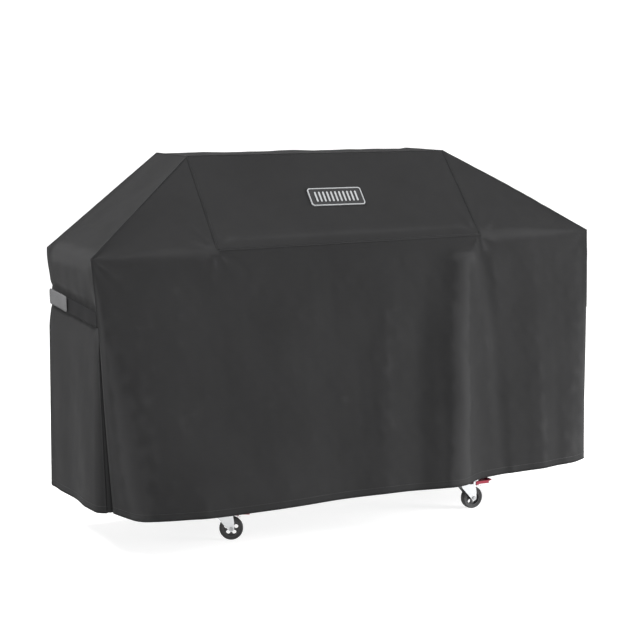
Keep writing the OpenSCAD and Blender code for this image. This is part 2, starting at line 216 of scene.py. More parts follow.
def cover_weave(name, colour, paler, thread=1.15 * MM):
    """Plain weave on the cloth's own UV, in metres, with a painted highlight that makes the crests of its folds
    paler.
    """
    cloth = Coat(name, Specular_IOR_Level=0.06, Sheen_Weight=0.01, Sheen_Roughness=0.45)
    uv = cloth.node("ShaderNodeUVMap", {"uv_map": "cut"})
    spot = cloth.node("ShaderNodeTexCoord", output=3)
    crease = cloth.node("ShaderNodeAttribute", {"attribute_name": "crease"}, output=2)
    apart = cloth.node("ShaderNodeSeparateXYZ", {}, {0: uv})
    across, along = Wire(cloth, apart.socket.node.outputs[0]), Wire(cloth, apart.socket.node.outputs[1])
    turns = 2 * math.pi / (2 * thread)
    weave = (across * turns).wave() * (along * turns).wave()
    slub = cloth.noise(cloth.node("ShaderNodeMapping", {}, {"Vector": uv, "Scale": (22, 260, 1)}), 1.0, 2.0)
    mottle = cloth.noise(spot, 3.1, 4.0, 0.55)
    crumple = cloth.noise(spot, 26.0, 5.0, 0.6)
    # The crest mask is a painted highlight: the cloth is paler where its folds stand out.
    share = mottle * 0.5 + slub * 0.2 + weave * 0.06 + crease * 0.45 + crumple * 0.2
    share = cloth.node("ShaderNodeMapRange", {}, {"Value": share, 1: 0.2, 2: 1.1})
    cloth.set("Base Color", cloth.blend(share, colour, paler))
    cloth.set("Roughness", 0.86 - crease * 0.08 - mottle * 0.08)
    soft = cloth.bump(crumple, 1.6 * MM, 0.35)
    cloth.set("Normal", cloth.bump(weave + slub * 0.6, 0.16 * MM, 0.5, soft))
    return cloth.material


charcoal = cover_weave("charcoal_weave", (0.0128, 0.0128, 0.0131), (0.0232, 0.0232, 0.0237))


def ripple(points, size, seed, waves=14):
    """Smooth swelling from -1 to 1 about as long as size, the same at the same place on every panel."""
    draw = np.random.default_rng(seed)
    total = np.zeros(points.shape[:-1])
    for _ in range(waves):
        way = draw.normal(size=3)
        way *= (0.6 + 0.8 * draw.random()) / (size * np.linalg.norm(way))
        total += np.sin(2 * math.pi * (points @ way + draw.random()))
    return total / math.sqrt(waves)


def smooth_step(low, high, value):
    t = np.clip((value - low) / (high - low), 0, 1)
    return t * t * (3 - 2 * t)


def hump(value, middle, width):
    return np.exp(-((value - middle) / width) ** 2)


def out_of(net):
    """Unit normals of a net of points whose rows run down and whose columns run right, seen from outside."""
    down = np.gradient(net, axis=0)
    right = np.gradient(net, axis=1)
    normal = np.cross(right, -down)
    size = np.linalg.norm(normal, axis=2, keepdims=True)
    return normal / np.maximum(size, 1e-9)


def eased(stations, shares):
    """Points at the given shares along a smooth line through stations."""
    stations = np.asarray(stations, float)
    knots = np.arange(len(stations), dtype=float)
    slope = np.gradient(stations, axis=0)
    at = np.clip(shares, 0, len(stations) - 1 - 1e-9)
    low = at.astype(int)
    t = (at - knots[low])[..., None]
    a, b, da, db = stations[low], stations[low + 1], slope[low], slope[low + 1]
    return ((2 * t**3 - 3 * t**2 + 1) * a + (t**3 - 2 * t**2 + t) * da
            + (-2 * t**3 + 3 * t**2) * b + (t**3 - t**2) * db)


def cut_of(net):
    """The UV of a net, its lengths measured along the cloth, in metres."""
    right = np.linalg.norm(np.diff(net, axis=1), axis=2).mean(axis=0)
    down = np.linalg.norm(np.diff(net, axis=0), axis=2).mean(axis=1)
    u, v = np.r_[0, np.cumsum(right)], np.r_[0, np.cumsum(down)]
    return np.stack(np.meshgrid(u, -v), axis=2)


def area_of(net):
    across = net[1:, 1:] - net[:-1, :-1]
    other = net[1:, :-1] - net[:-1, 1:]
    return float(np.linalg.norm(np.cross(across, other), axis=2).sum() / 2)


def sewn(name, nets, material, thick, crease=None):
    """One mesh from nets that share edges, its UV in metres and its thickness to the inside."""
    points, faces, uv, crest_highlight_marks = [], [], [], []
    for k, net in enumerate(nets):
        rows, cols = net.shape[:2]
        start = sum(len(p) for p in points)
        points.append(net.reshape(-1, 3))
        uv.append(cut_of(net).reshape(-1, 2))
        crest_highlight_marks.append(np.zeros(rows * cols) if crease is None else crease[k].reshape(-1))
        i = np.arange(rows * cols).reshape(rows, cols) + start
        quads = np.stack([i[:-1, :-1], i[1:, :-1], i[1:, 1:], i[:-1, 1:]], axis=2)
        faces.append(quads.reshape(-1, 4))
    points, uv, crest_highlight_marks = np.concatenate(points), np.concatenate(uv), np.concatenate(crest_highlight_marks)
    faces = np.concatenate(faces)
    grid = np.round(points / (0.05 * MM)).astype(np.int64)
    _, first, same = np.unique(grid, axis=0, return_index=True, return_inverse=True)
    same = same.reshape(-1)
    loops = [[(c, same[c]) for c in face] for face in faces.tolist()]
    kept = []
    for face in loops:
        seen, ring = set(), []
        for corner, merged in face:
            if merged not in seen:
                seen.add(merged)
                ring.append((corner, merged))
        if len(ring) > 2:
            kept.append(ring)
    mesh = bpy.data.meshes.new(name)
    mesh.from_pydata(points[first].tolist(), [], [[m for _, m in ring] for ring in kept])
    layer = mesh.uv_layers.new(name="cut")
    layer.data.foreach_set("uv", np.array([uv[c] for ring in kept for c, _ in ring], np.float32).ravel())
    # Each point's share of the painted highlight on fold crests, read by the cloth's colour.
    mark = mesh.attributes.new("crease", "FLOAT", "POINT")
    mark.data.foreach_set("value", crest_highlight_marks[first].astype(np.float32))
    mesh.polygons.foreach_set("use_smooth", [True] * len(mesh.polygons))
    mesh.materials.append(material)
    mesh.validate()
    mesh.update()
    piece = bpy.data.objects.new(name, mesh)
    bpy.context.scene.collection.objects.link(piece)
    if thick:
        wall = piece.modifiers.new("thickness", "SOLIDIFY")
        wall.thickness, wall.offset, wall.use_rim = thick, -1, True
    return piece


# The corners that the panels share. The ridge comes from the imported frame, and the
# hood's lower seam, the shoulders, the strap and the hem are given here.

top_low, top_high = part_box("top_panel")
sewing = 3.6 * MM
ridge_z = top_high.z
ridge_l, ridge_r = top_low.x - sewing, top_high.x + sewing
ridge_front, ridge_back = top_low.y - sewing, top_high.y + sewing
half_w = 950 * MM
shoulder_l, shoulder_r = 966 * MM, 985 * MM
shoulder_front, shoulder_back = -148 * MM, 282 * MM
hood_seam_y, hood_seam_l, hood_seam_r = -160 * MM, 975 * MM, 987 * MM
dart_l, dart_r = ridge_l - 2 * MM, ridge_r + 3 * MM
hem_z = 145 * MM
cloth_t = 1.3 * MM
strap_slope = math.tan(math.radians(3.8))


def strap_height(y):
    return 773 * MM + (y + 182 * MM) * strap_slope


ridge_fl, ridge_fr = np.array([ridge_l, ridge_front, ridge_z]), np.array([ridge_r, ridge_front, ridge_z])
ridge_bl, ridge_br = np.array([ridge_l, ridge_back, ridge_z]), np.array([ridge_r, ridge_back, ridge_z])
corner_fl, corner_bl = (np.array([-half_w, y, shoulder_l]) for y in (shoulder_front, shoulder_back))
corner_fr, corner_br = (np.array([half_w, y, shoulder_r]) for y in (shoulder_front, shoulder_back))
seam_l, seam_r = np.array([dart_l, hood_seam_y, hood_seam_l]), np.array([dart_r, hood_seam_y, hood_seam_r])

# ---- The front panel ----
# One wide piece from the hood's lower seam to the hem. Its upper corners are the
# three-cornered parts beside the hood, folded over the side tables' edges, and its
# ends wrap the front corners and stop at the pleats.

# Places across the panel at the shoulder, below the strap, half way down and at the hem
front_levels_z = np.array([966, 745, 470, 145]) * MM
front_stations = np.array([
    [(-950, -149), (-940, -182), (-925, -184), (-898, -174)],
    [(-943, -151), (-932, -203), (-915, -218), (-884, -244)],
    [(-926, -152), (-907, -214), (-886, -264), (-856, -316)],
    [(-880, -153), (-852, -214), (-822, -288), (-790, -346)],
    [(-735, -155), (-730, -213), (-732, -288), (-705, -364)],
    [(-600, -158), (-600, -210), (-608, -284), (-628, -376)],
    [(-450, -160), (-450, -207), (-456, -279), (-452, -368)],
    [(-300, -161), (-300, -203), (-310, -272), (-346, -360)],
    [(-120, -161), (-120, -199), (-128, -262), (-156, -334)],
    [(60, -161), (60, -198), (50, -260), (-4, -331)],
    [(190, -161), (188, -197), (172, -258), (120, -334)],
    [(300, -161), (292, -203), (272, -272), (232, -350)],
    [(400, -161), (384, -209), (352, -276), (292, -346)],
    [(500, -159), (486, -196), (462, -232), (450, -276)],
    [(610, -157), (604, -180), (590, -214), (590, -254)],
    [(740, -155), (740, -176), (738, -206), (728, -240)],
    [(870, -152), (872, -173), (874, -190), (866, -208)],
    [(935, -150), (932, -165), (930, -172), (940, -172)],
    [(950, -149), (946, -161), (950, -156), (953, -150)],
]) * MM
fold_z = front_levels_z[0]


def level_mix(z):
    """Weights of the four levels at height z, from one smooth curve through them."""
    place = np.interp(-z, -front_levels_z, np.arange(4))
    return eased(np.eye(4), place)


def front_line(share, z):
    """The front panel's outline at station share and height z."""
    across = eased(front_stations.reshape(len(front_stations), 8), share).reshape(*np.shape(share), 4, 2)
    return np.einsum("...lc,...l->...c", across, level_mix(z))


def fold_push(x, z):
    """How far the hanging folds stand proud of the panel's general shape."""
    fall = smooth_step(940 * MM, 640 * MM, z)
    level = -z / MM
    crest = np.interp(level, [-900, -600, -145], [405, 348, 318]) * MM
    valley = np.interp(level, [-930, -600, -145], [492, 530, 545]) * MM
    second = np.interp(level, [-850, -600, -145], [130, 75, 30]) * MM
    push = 19 * MM * hump(x, crest, 56 * MM) * smooth_step(980 * MM, 900 * MM, z)
    push -= 7 * MM * hump(x, valley, 34 * MM) * smooth_step(965 * MM, 900 * MM, z)
    push += 7 * MM * fall * hump(x, second, 50 * MM)
    push -= 7 * MM * fall * hump(x, second + 130 * MM, 44 * MM)
    push += 5 * MM * fall * hump(x, -255 * MM, 110 * MM)
    push -= 5 * MM * fall * hump(x, -560 * MM, 90 * MM)
    push += 5 * MM * fall * hump(x, 710 * MM, 60 * MM)
    push -= 6 * MM * smooth_step(600 * MM, 300 * MM, z) * hump(x, 790 * MM, 44 * MM)
    return push


def radiating(x, z, apex, reach, count, phase):
    """Small tension creases that fan out from a seam's end."""
    dx, dz = x - apex[0], z - apex[2]
    far = np.hypot(dx, dz)
    turn = np.arctan2(dz, dx)
    wave = np.cos(count * turn + phase)
    return wave * np.exp(-far / reach) * smooth_step(0, 0.25 * reach, far)


n_across = 190
shares = np.linspace(0, len(front_stations) - 1, n_across)
dense = np.linspace(0, len(front_stations) - 1, 4000)
run = front_line(dense, np.full(4000, 470 * MM))
length = np.r_[0, np.cumsum(np.linalg.norm(np.diff(run, axis=0), axis=1))]
shares = np.interp(np.linspace(0, length[-1], n_across), length, dense)
top_x = front_line(shares, np.full(n_across, fold_z))[:, 0]
i_left, i_right = int(np.argmin(abs(top_x - dart_l))), int(np.argmin(abs(top_x - dart_r)))
top_x[i_left], top_x[i_right] = dart_l, dart_r


def fold_edge(x):
    """Where the front panel starts: the hood's lower seam, and the table's edge beside it."""
    corners = [-half_w, dart_l, dart_r, half_w]
    y = np.interp(x, corners, [shoulder_front, hood_seam_y, hood_seam_y, shoulder_front])
    z = np.interp(x, corners, [shoulder_l, hood_seam_l, hood_seam_r, shoulder_r])
    return np.stack([x, y, z], axis=-1)


edge = fold_edge(top_x)
n_down = 84
drop = np.linspace(0, 1, n_down) ** 1.05
z_rows = edge[None, :, 2] + (hem_z - edge[None, :, 2]) * drop[:, None]
share_rows = np.broadcast_to(shares, z_rows.shape)
plan = front_line(share_rows, np.minimum(z_rows, fold_z))
start_gap = edge[:, :2] - plan[0]
plan = plan + start_gap[None] * (1 - smooth_step(0, 0.1, drop))[:, None, None]
hang = np.concatenate([plan, z_rows[..., None]], axis=2)


def gusset_net(columns, high_from, high_to, low_points, rows=26):
    """The three-cornered part between a hip seam and the fold over the table's edge."""
    part = (columns - columns[0]) / (columns[-1] - columns[0])
    high = high_from + (high_to - high_from) * part[:, None]
    t = np.linspace(0, 1, rows)[:, None, None]
    return high[None] * (1 - t) + low_points[None] * t


left_gusset = gusset_net(top_x[:i_left + 1], corner_fl, ridge_fl, edge[:i_left + 1])
right_gusset = gusset_net(top_x[i_right:], ridge_fr, corner_fr, edge[i_right:])


def soften_fold(gusset, lower, keep):
    """Rounds the fold between a gusset and the panel that hangs from it; keep is 0 where it stays sharp."""
    net = np.concatenate([gusset, lower[1:]], axis=0)
    at = len(gusset) - 1
    for _ in range(6):
        mean = net.copy()
        mean[1:-1] = (net[:-2] + net[2:] + 2 * net[1:-1]) / 4
        rows = np.arange(len(net))
        weight = np.exp(-((rows - at) / 2.6) ** 2)[:, None, None] * keep[None, :, None]
        weight[0] = 0
        net = net + (mean - net) * weight
    return net[:at + 1], net[at:]


left_x, right_x = top_x[:i_left + 1], top_x[i_right:]
left_keep = smooth_step(0, 90 * MM, dart_l - left_x) * smooth_step(0, 30 * MM, left_x + half_w)
right_keep = smooth_step(0, 90 * MM, right_x - dart_r) * smooth_step(0, 30 * MM, half_w - right_x)
left_gusset, hang[:, :i_left + 1] = soften_fold(left_gusset, hang[:, :i_left + 1], left_keep)
right_gusset, hang[:, i_right:] = soften_fold(right_gusset, hang[:, i_right:], right_keep)

x, z = hang[..., 0], hang[..., 2]
off_left, off_right = smooth_step(0, 22 * MM, x - x[:, :1]), smooth_step(0, 22 * MM, x[:, -1:] - x)
hung = smooth_step(0, 0.09, drop)[:, None] * off_left * off_right
push = fold_push(x, z) + 2.2 * MM * ripple(hang * [1, 1, 0.35], 0.34, 3)
push = push + 0.9 * MM * ripple(hang * [1, 1, 0.5], 0.12, 4)
push += 0.45 * MM * ripple(hang, 0.05, 5)
pull = 2.6 * MM * radiating(x, z, seam_l, 55 * MM, 7, 0.4)
pull = pull + 3.2 * MM * radiating(x, z, seam_r, 70 * MM, 7, 2.2)
pull += (2.4 * MM * radiating(x, z, corner_fl, 80 * MM, 10, 0.0)
         + 2 * MM * radiating(x, z, corner_fr, 90 * MM, 10, 1.0))
held = smooth_step(0, 0.035, drop)[:, None] * off_left * off_right
hang = hang + out_of(hang) * (push * hung + pull * held)[..., None]
for gusset, apex, back in ((left_gusset, seam_l, ridge_fl), (right_gusset, seam_r, ridge_fr)):
    rows, cols = gusset.shape[:2]
    inside = np.sin(np.linspace(0, math.pi, rows))[:, None] * np.sin(np.linspace(0, math.pi, cols))[None]
    gx, gz = gusset[..., 0], gusset[..., 2]
    uneven = 1.2 * MM * ripple(gusset, 0.16, 6) + 0.5 * MM * ripple(gusset, 0.06, 7)
    swell = -5 * MM * inside + inside * uneven
    swell += 6 * MM * inside ** 0.5 * radiating(gx, gz, apex, 55 * MM, 11, 1.0)
    swell += 3 * MM * inside ** 0.5 * radiating(gx, gz, back, 60 * MM, 12, 0.0)
    gusset += out_of(gusset) * swell[..., None]


def crest_highlight_of(net, width=5):
    """How far the cloth stands out along a fold's crest, from 0 to 1, which is where a painted highlight makes
    it pale.
    """
    soft = net.copy()
    for _ in range(width):
        soft[1:-1] = (soft[:-2] + 2 * soft[1:-1] + soft[2:]) / 4
        soft[:, 1:-1] = (soft[:, :-2] + 2 * soft[:, 1:-1] + soft[:, 2:]) / 4
    height = ((net - soft) * out_of(net)).sum(axis=2)
    return smooth_step(0.25 * MM, 1.6 * MM, height)


left_block, right_block = hang[:, :i_left + 1], hang[:, i_right:]
middle_block = hang[:, i_left:i_right + 1]
left_all = np.concatenate([left_gusset, left_block[1:]])
right_all = np.concatenate([right_gusset, right_block[1:]])
front_nets = [left_all, middle_block, right_all]
front_cloth = sewn("front_cloth", front_nets, charcoal, cloth_t, [crest_highlight_of(n) for n in front_nets])
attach(front_cloth, "cover")
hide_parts("front_panel", "left_gusset", "right_gusset")
front_area = sum(area_of(n) for n in front_nets)

# ---- The hood's front ----
# A four-cornered piece from the ridge to the hood's lower seam, with a dart seam at
# each end. It lies on the lid and turns over the lid's handle near its lower edge.

rows, cols = 42, 104
t, s = np.linspace(0, 1, rows)[:, None], np.linspace(0, 1, cols)[None]
high = ridge_fl + (ridge_fr - ridge_fl) * s[..., None]
low = seam_l + (seam_r - seam_l) * s[..., None]
hood = high * (1 - t[..., None]) + low * t[..., None]
inside = np.sin(math.pi * t) * np.sin(math.pi * s) ** 0.5
badge_keep = 1 - hump(hood[..., 0], -15 * MM, 150 * MM) * hump(t + 0 * s, 0.49, 0.3)
swell = 4.2 * MM * hump(t + 0 * s, 0.9, 0.055) * np.sin(math.pi * s) ** 0.3
swell += inside * badge_keep * (-3.5 * MM + 1.3 * MM * ripple(hood, 0.22, 8))
swell += inside * 0.35 * MM * ripple(hood, 0.07, 9)
swell += 5.0 * MM * inside ** 0.5 * (radiating(hood[..., 0], hood[..., 2], seam_l, 60 * MM, 9, 1.5)
                                      + radiating(hood[..., 0], hood[..., 2], seam_r, 60 * MM, 9, 0.2)
                                      + radiating(hood[..., 0], hood[..., 2], ridge_fr, 60 * MM, 10, 0.6))
edge_fade = smooth_step(0, 0.05, t) * smooth_step(0, 0.05, 1 - t)
edge_fade = edge_fade * smooth_step(0, 0.02, s) * smooth_step(0, 0.02, 1 - s)
hood = hood + out_of(hood) * (swell * edge_fade)[..., None]
hood_cloth = sewn("hood_front_cloth", [hood], charcoal, cloth_t, [crest_highlight_of(hood)])
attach(hood_cloth, "cover")
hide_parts("hood_front_panel")

# ---- The end panels ----
# Each end is one piece from the ridge's end down the slope, over the side table and down
# to the hem. The strap draws it in, so it puffs out above the strap and hangs free below.

waist_x, hem_x = 936 * MM, 944 * MM


def corner_line(side, z):
    """The front corner, shared with the front panel as far down as the strap."""
    share = 0.0 if side < 0 else float(len(front_stations) - 1)
    return front_line(np.full(np.shape(z), share), np.minimum(z, fold_z))


def side_reach(zeta):
    """How far out the end stands at the height zeta above the strap's middle."""
    bag = (half_w - waist_x) * smooth_step(15 * MM, 150 * MM, zeta)
    skirt = (hem_x - waist_x) * smooth_step(20 * MM, 110 * MM, -zeta)
    cinch = 5 * MM * hump(zeta, 31 * MM, 11 * MM) + 3 * MM * hump(zeta, -30 * MM, 10 * MM)
    return waist_x + bag + skirt - cinch


def end_net(side):
    """The end's points, its rows from the ridge down and its columns from the front edge to the back."""
    cols = 56
    s = np.linspace(0, 1, cols)[None, :] ** 1.6
    ridge_f, ridge_b = (ridge_fl, ridge_bl) if side < 0 else (ridge_fr, ridge_br)
    corner_f, corner_b = (corner_fl, corner_bl) if side < 0 else (corner_fr, corner_br)
    t = np.linspace(0, 1, 50)[:, None]
    front = ridge_f + (corner_f - ridge_f) * t
    back = ridge_b + (corner_b - ridge_b) * t
    slope = front[:, None] * (1 - s[..., None]) + back[:, None] * s[..., None]
    z = np.linspace(corner_f[2], hem_z, 84)[1:, None] + 0 * s
    front_xy = corner_line(side, z[:, 0])
    tuck = smooth_step(748 * MM, 640 * MM, z[:, 0])
    lap_x, lap_y = ([940, 912], [-178, -163]) if side < 0 else ([942, 944], [-152, -141])
    loose = np.stack([side * np.interp(-z[:, 0], [-745 * MM, -hem_z], lap_x) * MM,
                      np.interp(-z[:, 0], [-745 * MM, -hem_z], lap_y) * MM], axis=1)
    front_xy = front_xy * (1 - tuck[:, None]) + loose * tuck[:, None]
    back_y = np.interp(-z[:, 0], [-corner_f[2], -hem_z], [shoulder_back, 300 * MM])
    y = front_xy[:, 1:] * (1 - s) + back_y[:, None] * s
    reach = side_reach(z - strap_height(y))
    settle = smooth_step(0, 0.10, s)
    x_front = np.abs(front_xy[:, :1])
    turned = np.sqrt(1 - (1 - np.clip(s / 0.085, 0, 1)) ** 2)
    share = settle * (1 - tuck[:, None]) + turned * tuck[:, None]
    low_x = x_front * (1 - share) + reach * share
    lower = np.stack([side * low_x, y, z], axis=2)
    net = np.concatenate([slope, lower])
    at = len(slope) - 1
    keep = smooth_step(0, 0.06, s) * smooth_step(0, 0.04, 1 - s)
    for _ in range(16):
        mean = net.copy()
        mean[1:-1] = (net[:-2] + net[2:] + 2 * net[1:-1]) / 4
        weight = np.exp(-((np.arange(len(net)) - at) / 3.4) ** 2)[:, None, None] * keep[0][None, :, None]
        weight[0] = 0
        net = net + (mean - net) * weight
    if side > 0:
        net = net[:, ::-1]
    return net, at


def dressed_end(side):
    net, at = end_net(side)
    cols = net.shape[1]
    s = np.linspace(0, 1, cols)[None, :]
    if side < 0:
        s = 1 - s
        net = net[:, ::-1]
    z = net[..., 2]
    y = net[..., 1]
    zeta = z - strap_height(y)
    lower = smooth_step(0, 1, (np.arange(len(net)) - at)[:, None] / 8)
    upper = 1 - lower
    edges = smooth_step(0, 0.05, s) * smooth_step(0, 0.05, 1 - s)
    rows = np.arange(len(net))[:, None]
    slope_in = np.sin(math.pi * np.clip(rows / at, 0, 1)) * edges
    sag = -5 * MM + 1.3 * MM * ripple(net, 0.2, 11) + 0.5 * MM * ripple(net, 0.07, 12)
    push = slope_in * upper * sag
    band = smooth_step(18 * MM, 40 * MM, zeta) * smooth_step(190 * MM, 150 * MM, zeta)
    uneven = 0.7 * MM * ripple(net * [1, 1, 0.8], 0.11, 13) + 2 * MM * ripple(net, 0.2, 14)
    push += lower * edges * band * uneven
    skirt = smooth_step(24 * MM, 200 * MM, -zeta) * edges
    fall = smooth_step(740 * MM, 250 * MM, z)
    push += skirt * fall * 4 * MM * hump(y, 10 * MM - 60 * MM * fall, 60 * MM)
    push -= skirt * fall * 6 * MM * hump(y, 120 * MM, 70 * MM)
    push += skirt * (1.8 * MM * ripple(net * [1, 1, 0.3], 0.22, 15) + 0.5 * MM * ripple(net, 0.08, 16))
    pinch = smooth_step(60 * MM, 30 * MM, np.abs(zeta)) * edges
    rim = 1 - smooth_step(20 * MM, 32 * MM, 32 * MM - np.abs(zeta))
    push += pinch * rim * 0.5 * MM * np.sin(y / (9 * MM))
    return net + out_of(net) * push[..., None]


end_nets = {}
for side, word in ((-1, "left"), (1, "right")):
    end = dressed_end(side)
    end_nets[word] = end
    piece = sewn(f"{word}_end_cloth", [end], charcoal, cloth_t, [crest_highlight_of(end)])
    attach(piece, "cover")
    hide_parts(f"{word}_slope_panel", f"{word}_side_panel", f"{word}_skirt")
    round(area_of(end), 3)

# ---- The back panel ----
# One piece from the ridge's front edge over the top and down to the hem behind. It
# hangs nearly flat, with shallow folds below the shoulders.

rows_top, rows_hood, rows_back, cols = 28, 32, 84, 190
s = np.linspace(0, 1, cols)[None, :, None]


def ruled(high_left, high_right, low_left, low_right, rows):
    """A straight-lined net between four corners, its columns from right to left."""
    t = np.linspace(0, 1, rows)[:, None, None]
    high = high_right * (1 - s) + high_left * s
    low = low_right * (1 - s) + low_left * s
    return high * (1 - t) + low * t


def rear_column(net):
    """Whichever of a net's two outer columns starts nearer to the back of the shoulder."""
    near, far = abs(net[0, 0, 1] - shoulder_back), abs(net[0, -1, 1] - shoulder_back)
    return net[:, 0] if near < far else net[:, -1]


top = ruled(ridge_fl, ridge_fr, ridge_bl, ridge_br, rows_top)
hood_back = ruled(ridge_bl, ridge_br, corner_bl, corner_br, rows_hood)[1:]
left_back, right_back = (rear_column(end_nets[word][1 - rows_back:]) for word in ("left", "right"))
low_back = right_back[:, None] * (1 - s) + left_back[:, None] * s
back = np.concatenate([top, hood_back, low_back])
along = s[..., 0]
keep = smooth_step(0, 0.03, along) * smooth_step(0, 0.03, 1 - along)
held = smooth_step(0, 0.16, along) * smooth_step(0, 0.16, 1 - along)
for bend, sharp in ((rows_top - 1, 2.2), (rows_top + rows_hood - 2, 3.4)):
    for _ in range(14):
        mean = back.copy()
        mean[1:-1] = (back[:-2] + back[2:] + 2 * back[1:-1]) / 4
        weight = np.exp(-((np.arange(len(back)) - bend) / sharp) ** 2)[:, None] * held
        back = back + (mean - back) * weight[..., None]
x, z = back[..., 0], back[..., 2]
fall = smooth_step(930 * MM, 400 * MM, z) * keep
push = fall * (9 * MM * ripple(back * [1, 1, 0.12], 0.42, 21) + 3 * MM * ripple(back * [1, 1, 0.25], 0.17, 22))
quiet = smooth_step(0, 1, np.arange(len(back))[:, None] / 6.0) * keep
push += quiet * (1.2 * MM * ripple(back, 0.2, 23) + 0.4 * MM * ripple(back, 0.07, 24))
back = back + out_of(back) * push[..., None]
back_cloth = sewn("back_cloth", [back], charcoal, cloth_t, [crest_highlight_of(back)])
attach(back_cloth, "cover")
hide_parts("top_panel", "hood_back_panel", "back_panel")
round(area_of(back), 3)

# ---- The corner pleats ----
# A narrow fold of the same cloth behind each front corner, shut at the strap and open
# at the hem, so that the cover can be pulled down over the grill.

# The least area reckoned for a pleat. A sheet of 0.1 x 0.6 m has to declare 0.018 m2 or more. The left net
# measures less, 0.0165 m2, so for the left pleat this number is taken instead of its true area. The right
# net is larger and isn't affected.
least_pleat_area = 0.0181

for side, word in ((-1, "left"), (1, "right")):
    end = end_nets[word]
    front_column = end[:, -1] if end[-1, -1, 1] < end[-1, 0, 1] else end[:, 0]
    outer = front_column[front_column[:, 2] < 742 * MM]
    lap = hang[:, 0 if side < 0 else -1]
    order = np.argsort(lap[:, 2])
    inner = np.stack([np.interp(outer[:, 2], lap[order, 2], lap[order, k]) for k in range(3)], axis=1)
    open_share = 0.05 + 0.95 * smooth_step(742 * MM, hem_z, outer[:, 2])[:, None]
    across = -side * open_share
    bulge = outer + across * np.array([10 * MM, 0, 0]) + open_share * np.array([0, -4 * MM, 0])
    turn_in = outer + across * np.array([26 * MM, 0, 0]) + open_share * np.array([0, -2 * MM, 0])
    tuck = inner + np.array([-side * 9 * MM, 8 * MM, 0]) * (0.2 + 0.8 * open_share)
    stations = np.stack([outer, bulge, turn_in, tuck, inner + np.array([-side * 1.2 * MM, 0.5 * MM, 0])], axis=1)
    t = np.linspace(0, 4, 25)
    web = np.stack([eased(row, t) for row in stations])
    if side > 0:
        web = web[:, ::-1]
    piece = sewn(f"{word}_front_pleat_cloth", [web], charcoal, cloth_t, [crest_highlight_of(web) * 0])
    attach(piece, "cover")
    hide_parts(f"{word}_front_pleat")
    round(max(area_of(web), least_pleat_area), 4)

# ---- The hem ----
# The cloth's lower edge is turned up on the inside and sewn down, which makes a double
# band 26 mm high all round, with one row of stitching that shows outside.

hem_tall, hem_gap = 26 * MM, 1.7 * MM


def turned_up(net):
    """The band inside a panel's lower edge, from its top down and round under the edge."""
    z = net[:, :, 2].mean(axis=1)
    inward = -out_of(net)
    heights = np.array([hem_z + hem_tall * (1 - k / 5) for k in range(6)])
    row = np.interp(-heights, -z, np.arange(len(z)))
    low = np.floor(np.minimum(row, len(z) - 2)).astype(int)
    part = (row - low)[:, None, None]
    band = net[low] * (1 - part) + net[low + 1] * part
    push = inward[low] * (1 - part) + inward[low + 1] * part
    strip = band + push * (hem_gap + 0.6 * MM * ripple(band, 0.07, 31)[..., None])
    last, down = net[-1], np.array([0, 0, -1.6 * MM])
    under, outer = last + inward[-1] * 1.0 * MM + down, last + inward[-1] * 0.1 * MM
    return np.concatenate([strip, under[None], outer[None]])


bands = {
    "front_hem": [turned_up(net) for net in front_nets],
    "left_hem": [turned_up(end_nets["left"])],
    "right_hem": [turned_up(end_nets["right"])],
    "back_hem": [turned_up(back)],
}
for node, strips in bands.items():
    piece = sewn(f"{node}_tape", strips, charcoal, 0.9 * MM)
    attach(piece, "cover")
    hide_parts(node)

# ---- The seams ----
# Where two panels meet, both are folded in and sewn, which leaves a narrow ridge, coloured dark as a painted
# shade along the seam.
# The thread is dark polyester, with a row of topstitching a few millimetres to each side.


def shaded_seam_tape():
    """The ridge of a closed seam, almost black as a painted shade along the seam, with fine ribs."""
    tape = Coat("shaded_seam_tape", Specular_IOR_Level=0.25)
    spot = tape.node("ShaderNodeTexCoord", output=3)
    grain = tape.noise(spot, 420.0, 3.0)
    patch = tape.noise(spot, 9.0, 2.0)
    share = grain * 0.6 + patch * 0.4
    # Almost black throughout: painted shade along the seam.
    tape.set("Base Color", tape.blend(share, (0.008, 0.008, 0.0085), (0.018, 0.018, 0.0185)))
    tape.set("Roughness", 0.8 + patch * 0.12)
    tape.set("Normal", tape.bump(grain, 0.3 * MM, 0.5))
    return tape.material


def thread_coat(name, dark, light):
    """Twisted polyester thread, with a soft shine along its strands."""
    thread = Coat(name, Specular_IOR_Level=0.4)
    spot = thread.node("ShaderNodeTexCoord", output=3)
    strands = thread.noise(spot, 900.0, 2.0)
    thread.set("Base Color", thread.blend(strands, dark, light))
    thread.set("Roughness", 0.5 + strands * 0.2)
    thread.set("Normal", thread.bump(strands, 0.15 * MM, 0.6))
    return thread.material


dark_tape = shaded_seam_tape()
charcoal_thread = thread_coat("charcoal_thread", (0.012, 0.012, 0.0125), (0.028, 0.028, 0.029))


